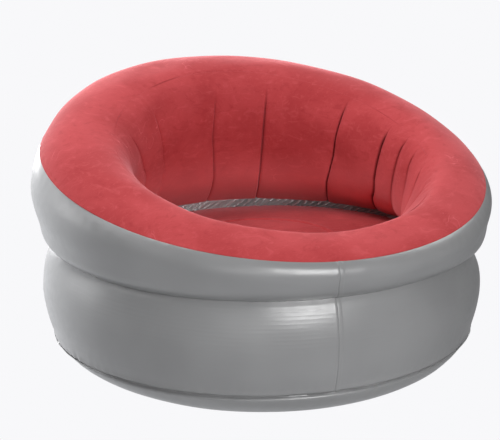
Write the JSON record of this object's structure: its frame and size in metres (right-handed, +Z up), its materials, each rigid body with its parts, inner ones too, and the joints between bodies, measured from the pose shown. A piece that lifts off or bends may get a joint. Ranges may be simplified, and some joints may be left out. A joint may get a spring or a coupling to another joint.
{
  "type": "inflatable chair",
  "caption": "Round inflatable armchair of welded film with a flocked seat well, a rim that rises from a low front to a tall back, and a screw valve at the back.",
  "frame": {"origin": "on the floor, under the middle of the chair's bounding box", "axes": "+Z up, -Y towards the low front rim, +Y towards the tall back and the valve, +X to the right of someone who looks along +Y"},
  "size_m": [1.0953, 1.0981, 0.6506],
  "materials": {
    "grey_film": "satin PVC film",
    "red_flock": "flocked PVC film, short velvet pile",
    "beam_film": "plain PVC film",
    "valve_moulding": "moulded PVC",
    "soft_rubber": "soft moulded rubber"
  },
  "bodies": {
    "chair": {"outer_wall": "grey_film", "base_panel": "grey_film", "divider_web": "grey_film", "rim_panel": "red_flock", "inner_wall": "red_flock", "seat_panel": "red_flock", "seat_beam_1": "beam_film", "seat_beam_2": "beam_film", "seat_beam_3": "beam_film", "seat_beam_4": "beam_film", "valve_base": "valve_moulding"},
    "collar_strap": {"collar_tether": "valve_moulding"},
    "collar": {"valve_collar": "valve_moulding", "collar_gasket": "soft_rubber"},
    "flap": {"valve_flap": "soft_rubber"},
    "cap_strap": {"cap_tether": "valve_moulding"},
    "cap": {"valve_cap": "valve_moulding", "cap_gasket": "soft_rubber"}
  },
  "joints": [
    {"name": "collar_strap_slide", "type": "slide", "parent": "chair", "child": "collar_strap", "axis": [0, 1, 0], "range_m": [0, 0.005]},
    {"name": "collar_screw", "type": "hinge", "parent": "collar_strap", "child": "collar", "pos_m": [0, 0.52725, 0.184], "axis": [0, 1, 0], "range_deg": [0, 450]},
    {"name": "flap_lift", "type": "slide", "parent": "collar", "child": "flap", "axis": [0, -1, 0], "range_m": [0, 0.002], "stiffness_N_per_m": 40},
    {"name": "cap_strap_slide", "type": "slide", "parent": "collar", "child": "cap_strap", "axis": [0, 1, 0], "range_m": [0, 0.0045]},
    {"name": "cap_screw", "type": "hinge", "parent": "cap_strap", "child": "cap", "pos_m": [0, 0.52725, 0.184], "axis": [0, 1, 0], "range_deg": [0, 540]}
  ],
  "couplings": [
    {"joint": "collar_strap_slide", "follows": "collar_screw", "m_per_rad": 0.00063662},
    {"joint": "cap_strap_slide", "follows": "cap_screw", "m_per_rad": 0.00047746}
  ]
}
